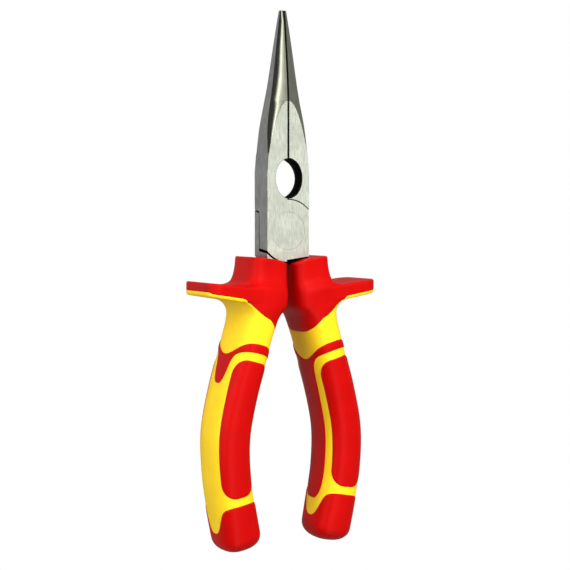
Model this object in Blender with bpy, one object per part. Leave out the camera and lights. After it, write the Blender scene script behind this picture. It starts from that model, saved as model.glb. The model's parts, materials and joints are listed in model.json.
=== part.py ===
"""Insulated needle nose pliers of the 200 mm size: two forged halves on a rivet, two moulded handles.

The tool lies on its back: +X across the handles, +Y towards the tips, +Z out of its front face.
Inside the functions lengths are millimetres, measured from the pivot: x to the right, t down
the handles and up positive towards the tips as `rise`, y towards the back of the tool.
Run it with blender --background --python part.py, or from Blender's text editor.
"""

import math

import bmesh
import bpy
import numpy as np
from mathutils import Vector
from mathutils.geometry import delaunay_2d_cdt

# Driving dimensions, in millimetres
TIP_RISE = 81.3           # pivot to jaw tip
HEAD_HALF_WIDTH = 8.8
HEAD_HALF_DEPTH = 5.0
TIP_HALF_WIDTH = 1.3
TIP_HALF_DEPTH = 0.98
NOSE_LENGTH = 33.4        # stretch over which the jaws taper in depth
JAW_LENGTH = 60.0         # stretch over which the jaws taper in width
SWELL = 0.9               # how far the jaws' sides swell out over their middle
CROWN = 0.4               # how much deeper the nose's front is than its back
NOSE_FORWARD = 0.4        # how far the tips stand forward of the head's middle
JOINT_RADIUS = 11.56      # round shoulder of the lap joint, about the pivot
LAP_PLANE = 1.4           # the joint's two plates meet this far behind the middle
RIVET_RADIUS = 6.95
RIVET_NECK = 5.6
HOLE_RISE = 19.4          # centre of the oval hole between the jaws
HOLE_HALF_WIDTH = 5.55
HOLE_HALF_HEIGHT = 7.4
GAP = 0.3                 # between touching solids
SEAM = 0.2                # half the gap between the closed jaws
HANDLE_END = 117.9        # pivot to the end of a handle's core line
BACKSET = 0.4             # the handles' middle lies this far behind the head's
PROUD = 0.25              # how far the red pieces stand out of the yellow core
INLAY = 1.0               # how deep they sit in it
GUARD_REACH = 35.2        # pivot line to the guard's outer end
GUARD_HALF_DEPTH = 12.4
MM = 0.001

# One handle's section along its length: distance below the pivot, centre, inner half width,
# outer half width, half depth, and the section's squareness (2 is an ellipse)
HANDLE = np.array([
    (8.0, 8.1, 7.7, 7.7, 10.0, 4.5),
    (16.0, 8.8, 8.5, 8.1, 10.1, 4.2),
    (21.0, 9.7, 9.6, 8.8, 12.3, 3.3),
    (24.0, 10.4, 10.3, 9.0, 12.4, 3.2),
    (26.2, 11.0, 10.5, 8.8, 12.4, 3.0),
    (28.4, 11.6, 8.3, 8.3, 12.4, 2.9),
    (31.0, 12.4, 7.6, 7.6, 12.4, 2.8),
    (34.0, 13.3, 7.4, 6.9, 12.4, 2.7),
    (40.0, 15.0, 7.0, 6.8, 12.5, 2.6),
    (46.0, 16.6, 6.85, 6.9, 12.5, 2.6),
    (60.0, 20.7, 7.05, 7.1, 12.0, 2.6),
    (75.0, 23.65, 7.3, 7.35, 11.5, 2.6),
    (90.0, 23.3, 7.4, 7.5, 11.1, 2.6),
    (105.0, 20.8, 7.7, 7.9, 10.3, 2.6),
    (112.0, 19.35, 7.8, 8.1, 9.7, 2.6),
    (119.0, 17.9, 7.8, 8.1, 9.5, 2.6),
])
ROUND_END = 6.0           # length of the handle's rounded end
# Distances below the pivot at which the handles have a ring of points
ROWS = [9.6, 12, 15, 17, 19, 21, 23.5, 25.5, 27, 28.5, 31, 34, 38, 42, 46, 52, 58, 64, 70, 76, 82, 88,
        94, 100, 105, 109, 111.9, 114.1, 115.8, 117.0, 117.7]
MID_RISE = (HANDLE_END + PROUD - TIP_RISE) / 2
REST_HEIGHT = max(HANDLE[:, 4]) + BACKSET + PROUD

# Where guard and core meet, seen from the front: distance from the middle, distance below the pivot
GUARD_EDGE = [(40.0, 20.6), (34.0, 21.7), (28.0, 22.7), (24.5, 23.5), (21.0, 24.5), (19.2, 25.9),
              (17.5, 27.9), (15.5, 29.7), (13.0, 31.3), (11.0, 32.5), (9.0, 34.0), (7.5, 35.4),
              (5.5, 36.6), (-3.0, 37.4)]

RED = ("red_grip", (0.72, 0.012, 0.008), 0.42, 0.0)
YELLOW = ("yellow_sleeve", (0.95, 0.68, 0.03), 0.45, 0.0)
STEEL = ("bright_steel", (0.55, 0.56, 0.53), 0.38, 1.0)
RIVET = ("rivet_steel", (0.60, 0.61, 0.58), 0.35, 1.0)


def clear_scene():
    for item in list(bpy.data.objects):
        bpy.data.objects.remove(item, do_unlink=True)


def material(look):
    name, colour, roughness, metallic = look
    made = bpy.data.materials.new(name)
    made.use_nodes = True
    shader = made.node_tree.nodes["Principled BSDF"]
    shader.inputs["Base Color"].default_value = (*colour, 1.0)
    shader.inputs["Roughness"].default_value = roughness
    shader.inputs["Metallic"].default_value = metallic
    return made


def world(points):
    """Tool millimetres (x, y to the back, rise) to metres, lying on the back."""
    p = np.asarray(points, float)
    return np.stack([p[..., 0], p[..., 2] + MID_RISE, REST_HEIGHT - p[..., 1]], -1) * MM


def solid(name, points, faces):
    """An object from tool points and faces, its faces turned outwards and its doubles merged."""
    mesh = bpy.data.meshes.new(name)
    mesh.from_pydata([tuple(p) for p in world(points)], [], faces)
    bm = bmesh.new()
    bm.from_mesh(mesh)
    bmesh.ops.remove_doubles(bm, verts=bm.verts, dist=2e-6)
    bmesh.ops.dissolve_degenerate(bm, edges=bm.edges, dist=1e-6)
    bmesh.ops.recalc_face_normals(bm, faces=bm.faces)
    bm.to_mesh(mesh)
    bm.free()
    made = bpy.data.objects.new(name, mesh)
    bpy.context.scene.collection.objects.link(made)
    return made


def loft(name, rings):
    """A closed solid through rings of equally many points, with flat ends."""
    rings = np.asarray(rings, float)
    count, around = rings.shape[:2]
    faces = []
    for i in range(count - 1):
        for j in range(around):
            k = (j + 1) % around
            faces.append((i * around + j, i * around + k, (i + 1) * around + k, (i + 1) * around + j))
    faces.append(tuple(range(around)))
    faces.append(tuple((count - 1) * around + j for j in range(around)))
    return solid(name, rings.reshape(-1, 3), faces)


def prism(name, outline, front, back):
    """An outline of (x, rise) pulled straight through the tool's depth from front to back."""
    return loft(name, [[(x, y, rise) for x, rise in outline] for y in (front, back)])


def boolean(target, tool, operation):
    """Applies a cut, union or intersection with tool, which goes with it."""
    cut = target.modifiers.new(operation.lower(), "BOOLEAN")
    cut.operation = operation
    cut.object = tool
    cut.solver = "EXACT"
    graph = bpy.context.evaluated_depsgraph_get()
    shaped = bpy.data.meshes.new_from_object(target.evaluated_get(graph))
    target.modifiers.clear()
    target.data = shaped
    bpy.data.objects.remove(tool, do_unlink=True)
    return target


def clean(target):
    """Dissolves the slivers and flat leftovers of the cuts, and leaves triangles."""
    bm = bmesh.new()
    bm.from_mesh(target.data)
    bmesh.ops.remove_doubles(bm, verts=bm.verts, dist=4e-6)
    bmesh.ops.dissolve_limit(bm, angle_limit=math.radians(0.4), verts=bm.verts, edges=bm.edges)
    bmesh.ops.triangulate(bm, faces=bm.faces)
    bmesh.ops.dissolve_degenerate(bm, edges=bm.edges, dist=3e-6)
    bmesh.ops.triangulate(bm, faces=bm.faces)
    bm.to_mesh(target.data)
    bm.free()
    return target


def finish(target, look, smooth_angle=32.0):
    target.data.materials.clear()
    target.data.materials.append(material(look))
    target.data.shade_smooth()
    target.data.set_sharp_from_angle(angle=math.radians(smooth_angle))
    return target


def smooth_value(column, t):
    """A column of the handle's section table at t, on a smooth curve through its rows."""
    xs, ys = HANDLE[:, 0], HANDLE[:, column]
    slope = np.gradient(ys, xs)
    t = np.asarray(t, float)
    i = np.clip(np.searchsorted(xs, t) - 1, 0, len(xs) - 2)
    h = xs[i + 1] - xs[i]
    r = np.clip((t - xs[i]) / h, 0, 1)
    return ((2 * r**3 - 3 * r**2 + 1) * ys[i] + (r**3 - 2 * r**2 + r) * h * slope[i]
            + (3 * r**2 - 2 * r**3) * ys[i + 1] + (r**3 - r**2) * h * slope[i + 1])


def handle_point(q, t, out=0.0, samples=24):
    """Points on the right handle's surface, moved out of it by `out`.

    q goes round the section in quarter turns: 0 front, 1 outer side, 2 back, -1 inner side.
    t is the distance below the pivot, up to HANDLE_END, where the rounded end closes."""
    q, t = np.broadcast_arrays(np.asarray(q, float) % 4, np.asarray(t, float))
    shape = q.shape
    q, t = q.ravel(), t.ravel()
    quarter = np.minimum(np.floor(q), 3)
    share = np.where(quarter % 2 == 0, q - quarter, 1 - (q - quarter))
    end = np.clip((t - (HANDLE_END - ROUND_END)) / ROUND_END, 0, 1)
    close = (1 - end**2.4) ** (1 / 2.4)
    side = np.where(quarter < 2, smooth_value(3, t), smooth_value(2, t)) + out
    depth = smooth_value(4, t) + out
    power = 2 / smooth_value(5, t)
    angle = np.linspace(0, math.pi / 2, samples + 1)
    a = side[:, None] * np.sin(angle) ** power[:, None]
    b = depth[:, None] * np.cos(angle) ** power[:, None]
    run = np.cumsum(np.hypot(np.diff(a, axis=1), np.diff(b, axis=1)), axis=1)
    run = np.hstack([np.zeros((len(q), 1)), run])
    goal = share * run[:, -1]
    i = np.clip((run < goal[:, None]).sum(axis=1) - 1, 0, samples - 1)
    rows = np.arange(len(q))
    f = (goal - run[rows, i]) / (run[rows, i + 1] - run[rows, i])
    a = (a[rows, i] * (1 - f) + a[rows, i + 1] * f) * close * np.where(quarter < 2, 1, -1)
    b = (b[rows, i] * (1 - f) + b[rows, i + 1] * f) * close
    front = np.where((quarter == 0) | (quarter == 3), -1, 1)
    lean = np.arctan((smooth_value(1, t + 0.5) - smooth_value(1, t - 0.5)))
    reach = t + np.where(end > 0, out * end, 0)
    x = smooth_value(1, reach) + a * np.cos(lean)
    rise = -reach + a * np.sin(lean)
    return np.stack([x, b * front + BACKSET, rise], -1).reshape(*shape, 3)


def mirrored(points, side):
    p = np.array(points, float)
    p[..., 0] *= side
    return p


# ---------------------------------------------------------------- steel head

def jaw_half_width(drop):
    """Half width of a jaw at a distance below the tip: its side swells out over its middle."""
    full = HEAD_HALF_WIDTH - TIP_HALF_WIDTH
    r = min(drop / JAW_LENGTH, 1.0)
    swell = SWELL * math.exp(-((drop - 43.0) / 10.5) ** 2)
    return TIP_HALF_WIDTH + full * (r + 0.16 * r * (1 - r) * (1.6 - r)) + swell


def jaw_section(drop, crown=0.0, steps=5):
    """Half a section of one jaw, seam to outer side, as (distance from seam, half depth)."""
    width = jaw_half_width(drop)
    depth = min(HEAD_HALF_DEPTH, TIP_HALF_DEPTH + (HEAD_HALF_DEPTH - TIP_HALF_DEPTH) * drop / NOSE_LENGTH)
    ground = 1.85 * math.sqrt(max(drop - NOSE_LENGTH, 0.0))
    ground = min(ground, width - 0.35)
    share = min(max((drop - NOSE_LENGTH) / (0.93 * JAW_LENGTH - NOSE_LENGTH), 0.0), 1.0)
    side = 0.47 * depth + (HEAD_HALF_DEPTH - 0.35 - 0.47 * depth) * share**1.4
    depth += crown
    arc = [(math.sin(a), math.cos(a)) for a in (math.pi / 2 * k / steps for k in range(steps + 1))]
    return [(max(ground, SEAM) + (width - max(ground, SEAM)) * s, side + (depth - side) * c) for s, c in arc]


def jaw(name, side):
    """One jaw from its tip down to the pivot line."""
    drops = [0.0, 0.5, 8, 17, 26, NOSE_LENGTH, 35.5, 39, 44, 50, 56, JAW_LENGTH, TIP_RISE]
    rings = []
    for drop in drops:
        crown = CROWN * min(drop / 4.0, 1.0) * (1 - min(max((drop - 20.0) / 13.0, 0.0), 1.0) ** 2)
        forward = NOSE_FORWARD * (1 - min(drop / NOSE_LENGTH, 1.0) ** 2)
        front, back = jaw_section(drop, crown), jaw_section(drop)
        if drop == 0.0:
            front = back = [(SEAM + (w - SEAM) * 0.85, d * 0.85) for w, d in back]
        ring = [(SEAM, -front[0][1])] + [(w, -d) for w, d in front]
        ring += [(w, d) for w, d in reversed(back)] + [(SEAM, back[0][1])]
        rings.append([(side * w, d - forward, TIP_RISE - drop) for w, d in ring])
    return loft(name, rings)


def arc_points(radius, start, end, steps):
    """Points on a circle about the pivot, angles in degrees from +x."""
    turn = [math.radians(start + (end - start) * k / steps) for k in range(steps + 1)]
    return [(radius * math.cos(a), radius * math.sin(a)) for a in turn]


def joint_plate(name, front, back):
    """A plate of the lap joint: a disc with its two sides cut flat at the head's width."""
    radius = JOINT_RADIUS - GAP / 2
    flat = math.degrees(math.acos(HEAD_HALF_WIDTH / radius))
    outline = arc_points(radius, flat, 180 - flat, 20) + arc_points(radius, 180 + flat, 360 - flat, 20)
    return prism(name, outline, front, back)


# Tang centre, half width and half depth against the distance below the pivot
TANG = [(9.0, 5.6, 3.2, 5.0), (14.0, 6.6, 3.4, 5.0), (20.0, 8.6, 3.6, 4.6), (34.0, 13.3, 3.6, 3.6),
        (46.0, 16.6, 3.5, 3.2), (60.0, 20.7, 3.4, 3.0), (75.0, 23.65, 3.2, 2.8), (92.0, 23.1, 2.8, 2.6)]


def tang(name, side, grow=0.0):
    """The bar that a handle is moulded on. With grow it is the hollow that the bar fills."""
    rings = []
    for i, (t, centre, half, depth) in enumerate(TANG):
        before, after = TANG[max(i - 1, 0)], TANG[min(i + 1, len(TANG) - 1)]
        lean = math.atan((after[1] - before[1]) / (after[0] - before[0]))
        if i == 0:
            lean = 0.0
        w, d, cut = half + grow, depth + grow, 0.8
        down = t + (grow if i == len(TANG) - 1 else 0) - (2.5 if grow and i == 0 else 0)
        corners = [(-w, -d + cut), (-w + cut, -d), (w - cut, -d), (w, -d + cut),
                   (w, d - cut), (w - cut, d), (-w + cut, d), (-w, d - cut)]
        rings.append([(side * (centre + a * math.cos(lean)), b, -down + a * math.sin(lean))
                      for a, b in corners])
    return loft(name, rings)


def arm(name, side):
    """The stretch between the joint and the collar, as wide as the head."""
    outline = [(SEAM, 0.0), (HEAD_HALF_WIDTH, 0.0), (HEAD_HALF_WIDTH, -9.0), (8.6, -10.6),
               (2.4, -10.6), (2.4, -9.0), (SEAM, -9.0)]
    return prism(name, [(side * x, rise) for x, rise in outline], -HEAD_HALF_DEPTH, HEAD_HALF_DEPTH)


def pliers_half(name, jaw_side, plate_front, plate_back, slot_front, slot_back):
    """A forged half: its jaw, its plate of the lap joint, and its arm and tang on the other side."""
    body = jaw(name, jaw_side)
    boolean(body, arm("arm", -jaw_side), "UNION")
    boolean(body, tang("tang", -jaw_side), "UNION")
    boolean(body, prism("slot", arc_points(JOINT_RADIUS + GAP / 2, 0, 348, 29), slot_front, slot_back),
            "DIFFERENCE")
    boolean(body, joint_plate("plate", plate_front, plate_back), "UNION")
    oval = [(HOLE_HALF_WIDTH * math.cos(a), HOLE_RISE + HOLE_HALF_HEIGHT * math.sin(a))
            for a in (2 * math.pi * k / 32 for k in range(32))]
    boolean(body, prism("hole", oval, -8, 8), "DIFFERENCE")
    boolean(body, rivet("bore", 0.06), "DIFFERENCE")
    return finish(clean(body), STEEL)


def rivet(name, grow=0.0):
    """The rivet: a shank with a shallow cone under each flush head."""
    face = HEAD_HALF_DEPTH + (1.0 if grow else -0.02)
    cone = 1.2
    profile = [(-face, RIVET_RADIUS), (-HEAD_HALF_DEPTH + 0.4, RIVET_RADIUS),
               (-HEAD_HALF_DEPTH + cone, RIVET_NECK), (HEAD_HALF_DEPTH - cone, RIVET_NECK),
               (HEAD_HALF_DEPTH - 0.4, RIVET_RADIUS), (face, RIVET_RADIUS)]
    rings = [[(x, y, rise) for x, rise in arc_points(r + grow, 0, 350, 35)] for y, r in profile]
    return loft(name, rings)


# ---------------------------------------------------------------- handles

def handle_blank(name, side):
    """The outer shape of guard, neck and sleeve together, before they are parted."""
    rings = [mirrored(handle_point([k / 8 for k in range(32)], t), side) for t in ROWS]
    rings = np.array(rings)
    rings[..., 0] = np.where(side * rings[..., 0] < GAP, side * GAP, rings[..., 0])
    return loft(name, rings)


def flange(name, side):
    """The finger guard: a wedge that rises a little towards its round outer end."""
    reach, half, corner = GUARD_REACH, GUARD_HALF_DEPTH, 3.5
    plan = [(10.0, -half)]
    for k in range(5):
        a = math.radians(90 * k / 4)
        plan.append((reach - corner + corner * math.sin(a), -half + corner - corner * math.cos(a)))
    plan += [(x, -y) for x, y in reversed(plan)]

    def under(x):
        return 25.9 - 0.19 * (x - 19.0) + 5.5 * max(0.0, (24.5 - x) / 24.5) ** 1.5

    def top(x):
        return 20.2 - 0.11 * (x - 18.0)

    layers = [(0.0, 0.7), (0.12, 0.0), (0.88, 0.0), (1.0, 0.7)]
    rings = []
    for share, inset in layers:
        ring = []
        for x, y in plan:
            xi = min(x, reach - inset)
            yi = math.copysign(abs(y) - inset, y) + BACKSET
            ring.append((side * xi, yi, -(top(xi) + (under(xi) - top(xi)) * share)))
        rings.append(ring)
    return loft(name, rings)


def fillet_block(name, side):
    """Fills the hollow corner where the flange runs out of the collar, with a round of 4.5 mm."""
    radius, start, level = 4.4, 16.6, 19.9
    arc = [(start + radius - radius * math.cos(a), -(level - radius + radius * math.sin(a)))
           for a in (math.radians(90 * k / 5) for k in range(6))]
    outline = arc + [(start + radius, -(level + 1.5)), (start - 4, -(level + 1.5)), (start - 4, -(level - radius))]
    return prism(name, [(side * x, rise) for x, rise in outline], -6.5, 6.5)


def guard_region(name, side, lift, above):
    """Everything above or below the line where guard and core meet, moved down by lift."""
    edge = [(x, -(t + lift)) for x, t in GUARD_EDGE]
    far = 5.0 if above else -140.0
    outline = edge + [(edge[-1][0], far), (edge[0][0], far)]
    return prism(name, [(side * x, rise) for x, rise in outline], -18, 18)


def patch(name, side, outline, outer, inner, ring=False):
    """A piece laid on the handle: an outline of (q, t) with thickness from inner to outer.

    With ring it goes all the way round, from q -2 to 2, and its ends are welded."""
    quarter = 16.0
    edge = split([Vector((q * quarter, t)) for q, t in outline], 2.1)
    inside = []
    for k in range(-15, 32):
        for t in ROWS:
            p = Vector((k * quarter / 8, t))
            if within(p, edge) and distance(p, edge) > 0.8:
                inside.append(p)
    loop = [(k, (k + 1) % len(edge)) for k in range(len(edge))]
    points, _, faces, *_ = delaunay_2d_cdt(edge + inside, loop, [], 1, 1e-5)
    q = np.array([p.x for p in points]) / quarter
    t = np.array([p.y for p in points])
    count = len(points)
    skin = np.vstack([handle_point(q, t, outer), handle_point(q, t, inner)])
    used = {}
    for face in faces:
        for k in range(3):
            pair = (face[k], face[(k + 1) % 3])
            used[tuple(sorted(pair))] = used.get(tuple(sorted(pair)), []) + [pair]
    walls = []
    for pairs in used.values():
        a, b = pairs[0]
        at_seam = ring and abs(abs(q[a]) - 2) < 1e-6 and abs(abs(q[b]) - 2) < 1e-6
        at_pole = t[a] > HANDLE_END - 1e-4 and t[b] > HANDLE_END - 1e-4
        if len(pairs) == 1 and not at_seam and not at_pole:
            walls.append((b, a, a + count, b + count))
    shell = [tuple(f) for f in faces] + [tuple(v + count for v in reversed(f)) for f in faces] + walls
    return solid(name, mirrored(skin, side), shell)


def split(edge, longest):
    """A closed outline with its long sides cut into equal shorter ones."""
    points = []
    for a, b in zip(edge, edge[1:] + edge[:1]):
        count = math.ceil((b - a).length / longest)
        points += [a.lerp(b, k / count) for k in range(count)]
    return points


def within(p, edge):
    """Whether p lies inside the closed outline."""
    inside = False
    for a, b in zip(edge, edge[1:] + edge[:1]):
        if (a.y > p.y) != (b.y > p.y) and p.x < (b.x - a.x) * (p.y - a.y) / (b.y - a.y) + a.x:
            inside = not inside
    return inside


def distance(p, edge):
    """How far p is from the closed outline."""
    best = 1e9
    for a, b in zip(edge, edge[1:] + edge[:1]):
        run = b - a
        f = min(max((p - a).dot(run) / max(run.length_squared, 1e-9), 0), 1)
        best = min(best, (p - a - run * f).length)
    return best


def pad_outline(grow=0.0):
    """The front pad: a long rounded shield, a little wider at its top."""
    top, bottom, wide, narrow, corner = 47.3, 96.8, 0.535, 0.48, 6.2
    turns = [math.radians(18 * k) for k in range(6)]
    right = [(narrow - corner / 16 * (1 - math.sin(a)) + grow / 16 * math.sin(a),
              bottom - corner + (corner + grow) * math.cos(a)) for a in turns]
    right += [(wide - corner / 16 * (1 - math.cos(a)) + grow / 16 * math.cos(a),
               top + corner - (corner + grow) * math.sin(a)) for a in turns]
    return right + [(-q, t) for q, t in reversed(right)]


def band_edges(grow=0.0):
    """The ring's outline: its top edge, then its lower edge with both tongues, from q -2 to 2."""
    top = [(q, 41.0 + 5.6 * (0.5 - 0.5 * math.cos(math.pi * q)) ** 1.3 - grow) for q in steps_of(-2, 2, 16)]
    g = grow / 16
    shoulder = [(0.0, 44.3 + grow), (0.3, 44.9 + grow), (0.5, 45.9 + grow), (0.64 - g, 47.3 + grow)]
    inner = [(0.72 - g, 50.5), (0.735 - g, 60), (0.715 - g, 75), (0.70 - g, 90), (0.70 - g, 97.5),
             (0.76 - g, 100.6 + grow), (0.87, 102.6 + grow), (1.0, 103.2 + grow)]
    outer = [(0.69 - g, 50.0 + grow), (0.735 - g, 53.3 + grow), (0.80 - g, 55.9 + grow),
             (0.89, 57.1 + grow), (1.0, 57.5 + grow)]
    right = shoulder + outer
    left = shoulder + inner
    right = right + [(2 - q, t) for q, t in reversed(right[:-1])]
    left = left + [(2 - q, t) for q, t in reversed(left[:-1])]
    low = list(reversed(right)) + [(-q, t) for q, t in left[1:]]
    return top + low


def steps_of(start, end, count):
    return [start + (end - start) * k / count for k in range(count + 1)]


def cap_edges(grow=0.0):
    """The end cap's outline: its top edge with a notch at each side, then down to the closed end."""
    quarter = [(0.0, 99.5), (0.25, 99.6), (0.46, 100.4), (0.58, 102.0), (0.67, 105.0), (0.78, 108.2),
               (0.88, 109.6), (1.0, 110.0)]
    quarter = [(q, t - grow) for q, t in quarter]
    half = quarter + [(2 - q, t) for q, t in reversed(quarter[:-1])]
    top = [(-q, t) for q, t in reversed(half[1:])] + half
    seam = [t for t in ROWS if t > 99.8]
    end = [(q, HANDLE_END) for q in steps_of(2, -2, 16)]
    return top + [(2, t) for t in seam] + end + [(-2, t) for t in reversed(seam)]


def handle(side, word):
    """All the pieces of one handle."""
    blank = handle_blank(word + "_blank", side)
    boolean(blank, flange("flange", side), "UNION")
    guard = blank.copy()
    guard.data = blank.data.copy()
    guard.name = word + "_guard"
    bpy.context.scene.collection.objects.link(guard)
    boolean(guard, fillet_block("fillet", side), "UNION")
    boolean(guard, guard_region("above", side, 0.0, True), "INTERSECT")
    boolean(guard, prism("swing", arc_points(JOINT_RADIUS + 0.5, 0, 348, 29), -16, 16), "DIFFERENCE")
    boolean(guard, tang("hollow", side, GAP), "DIFFERENCE")
    finish(clean(guard), RED)

    core = blank
    core.name = word + "_core"
    boolean(core, guard_region("below", side, GAP, False), "INTERSECT")
    boolean(core, tang("hollow", side, GAP), "DIFFERENCE")
    spare = GAP + 0.05
    deep = -INLAY - spare
    boolean(core, patch("band_seat", side, band_edges(spare), 1.0, deep, ring=True), "DIFFERENCE")
    boolean(core, patch("cap_seat", side, cap_edges(spare), 1.0, deep, ring=True), "DIFFERENCE")
    for turn in (0, 2):
        seat = [(q + turn, t) for q, t in pad_outline(spare)]
        boolean(core, patch("pad_seat", side, seat, 1.0, deep), "DIFFERENCE")
    finish(clean(core), YELLOW)

    band = patch(word + "_band", side, band_edges(), PROUD, -INLAY, ring=True)
    cap = patch(word + "_cap", side, cap_edges(), PROUD, -INLAY, ring=True)
    front = patch(word + "_pad_front", side, pad_outline(), PROUD, -INLAY)
    back = patch(word + "_pad_back", side, [(q + 2, t) for q, t in pad_outline()], PROUD, -INLAY)
    for piece in (band, cap, front, back):
        finish(clean(piece), RED)


def hang_on_pivot():
    """Parents the half that moves to an empty on the rivet's axis."""
    pivot = bpy.data.objects.new("pivot", None)
    pivot.location = world((0.0, 0.0, 0.0))
    bpy.context.scene.collection.objects.link(pivot)
    bpy.context.view_layer.update()
    for item in bpy.data.objects:
        if item.name == "jaw_half_front" or item.name.startswith("right_"):
            item.parent = pivot
            item.matrix_parent_inverse = pivot.matrix_world.inverted()


def main():
    clear_scene()
    d, g = HEAD_HALF_DEPTH, GAP / 2
    pliers_half("jaw_half_front", -1, -d, LAP_PLANE - g, LAP_PLANE - g, d + 1)
    pliers_half("jaw_half_back", 1, LAP_PLANE + g, d, -d - 1, LAP_PLANE + g)
    finish(clean(rivet("pivot_rivet")), RIVET)
    handle(-1, "left")
    handle(1, "right")
    hang_on_pivot()


main()
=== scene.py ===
import json
import math

import bmesh
import bpy
import numpy as np
from mathutils import Matrix, Vector
from mathutils.geometry import delaunay_2d_cdt

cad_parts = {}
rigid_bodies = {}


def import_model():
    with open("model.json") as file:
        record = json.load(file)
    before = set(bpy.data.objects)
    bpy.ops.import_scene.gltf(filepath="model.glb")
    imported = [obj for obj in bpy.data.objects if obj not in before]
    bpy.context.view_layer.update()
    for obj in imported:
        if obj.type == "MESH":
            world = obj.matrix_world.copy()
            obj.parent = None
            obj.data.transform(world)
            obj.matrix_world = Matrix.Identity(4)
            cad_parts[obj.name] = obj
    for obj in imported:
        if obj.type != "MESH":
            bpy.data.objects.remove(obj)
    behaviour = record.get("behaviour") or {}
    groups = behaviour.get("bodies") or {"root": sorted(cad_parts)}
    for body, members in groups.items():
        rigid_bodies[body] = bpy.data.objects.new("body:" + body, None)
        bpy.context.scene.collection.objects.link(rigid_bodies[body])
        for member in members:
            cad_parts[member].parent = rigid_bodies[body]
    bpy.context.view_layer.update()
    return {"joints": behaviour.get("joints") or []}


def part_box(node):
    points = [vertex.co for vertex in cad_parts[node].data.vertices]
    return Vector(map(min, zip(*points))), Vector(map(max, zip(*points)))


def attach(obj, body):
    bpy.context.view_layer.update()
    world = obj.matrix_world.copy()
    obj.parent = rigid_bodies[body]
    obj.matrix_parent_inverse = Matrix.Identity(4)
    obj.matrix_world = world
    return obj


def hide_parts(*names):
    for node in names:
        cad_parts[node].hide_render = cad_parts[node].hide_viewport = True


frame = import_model()

# The tool lies on its back. Lengths are millimetres from the pivot: x to the right, y towards the
# back of the tool, rise towards the tips, and t (or drop) the distance below pivot (or below tip).
MM = 0.001
PIVOT = frame["joints"][0]["pos_m"]
TIP_RISE = round((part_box("jaw_half_front")[1].y - PIVOT[1]) / MM, 2)
FIXED, MOVING = frame["joints"][0]["parent"], frame["joints"][0]["child"]

# Steel head
HEAD_HALF_WIDTH = 8.8
HEAD_HALF_DEPTH = 5.0
TIP_HALF_WIDTH = 1.3
TIP_HALF_DEPTH = 0.98
NOSE_LENGTH = 33.4    # stretch over which the jaws taper in depth
JAW_LENGTH = 60.0     # stretch over which the jaws taper in width
SWELL = 0.9           # how far the jaws' sides swell out over their middle
CROWN = 0.4           # how much deeper the nose's front is than its back
NOSE_FORWARD = 0.4    # how far the tips stand forward of the head's middle
JOINT_RADIUS = 11.56  # of the lap joint's round plates
JOINT_CONE = 0.5      # how much smaller the joint's discs are at the lap than at their faces
PLATE_PLAY = 0.12     # from that radius in to each plate's rim
SLOT_PLAY = 0.28      # and out to the other half's slot
LAP_PLANE = 1.4       # where the two halves meet in the joint, behind the head's middle
LAP_GAP = 0.36
RIVET_RADIUS = 6.95   # at its faces
RIVET_NECK = 5.6      # its radius between them
RIVET_PLAY = 0.05
HOLE_RISE = 19.4
HOLE_OFFSET = 0.3     # how far the hole's centre lies to the right of the seam
HOLE_HALF_WIDTH = 5.42
HOLE_HALF_HEIGHT = 7.2
TOOTH_PITCH = 1.1
TOOTH_DEPTH = 0.22
FACE_GAP = 0.04       # between the gripping faces when the jaws are closed
CIRCLE = 2 * math.pi * np.arange(120) / 120
SHARP = 32.0          # degrees from which an edge of the steel is sharp

# Handles
GAP = 0.3             # from the middle plane to each collar
HANDLE_END = 117.7
ROUND_END = 6.0       # length of the handle's rounded end
BACKSET = 0.4         # how far the handles' middle lies behind the head's middle
PROUD = 0.25          # height of the red pieces over the yellow
INLAY = 1.0           # their depth under the yellow surface
SHOT_GAP = 0.22       # from the line between guard and neck to the edge of each
GUARD_REACH = 35.2
GUARD_HALF_DEPTH = 12.25
QUARTER = 16.0        # millimetres round the handle for one unit of q
SLEEVE_END = 112.0    # the yellow sleeve's lower end, under the end cap

# One handle's section along its length: distance below the pivot, centre, inner half width,
# outer half width, half depth, and the section's squareness (2 is an ellipse)
HANDLE = np.array([
    (8.0, 8.1, 7.7, 7.7, 10.0, 4.5),
    (16.0, 8.8, 8.5, 8.1, 10.1, 4.2),
    (18.6, 9.2, 9.0, 8.4, 10.6, 3.9),
    (20.7, 9.6, 9.5, 8.8, 12.1, 3.4),
    (24.0, 10.4, 10.3, 9.0, 12.4, 3.2),
    (26.2, 11.0, 10.5, 8.8, 12.4, 3.0),
    (28.4, 11.6, 8.3, 8.3, 12.4, 2.9),
    (31.0, 12.4, 7.6, 7.6, 12.4, 2.8),
    (34.0, 13.3, 7.4, 6.9, 12.4, 2.7),
    (40.0, 15.0, 7.0, 6.8, 12.5, 2.6),
    (46.0, 16.6, 6.85, 6.9, 12.5, 2.6),
    (60.0, 20.7, 7.05, 7.1, 12.0, 2.6),
    (75.0, 23.65, 7.3, 7.35, 11.5, 2.6),
    (90.0, 23.3, 7.4, 7.5, 11.1, 2.6),
    (105.0, 20.8, 7.7, 7.9, 10.3, 2.6),
    (112.0, 19.35, 7.8, 8.1, 9.7, 2.6),
    (119.0, 17.9, 7.8, 8.1, 9.5, 2.6),
])
# Where guard and neck meet, seen from the front: distance from the middle, distance below the pivot
GUARD_EDGE = [(40.0, 21.4), (34.0, 22.4), (28.0, 23.3), (24.5, 23.9), (21.6, 24.4), (20.9, 24.9),
              (20.4, 25.6), (19.2, 26.2), (17.5, 27.6), (15.5, 29.4), (13.0, 31.3), (11.0, 32.5),
              (9.0, 34.9), (7.5, 36.9), (6.0, 38.2), (-3.0, 39.0)]


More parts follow.
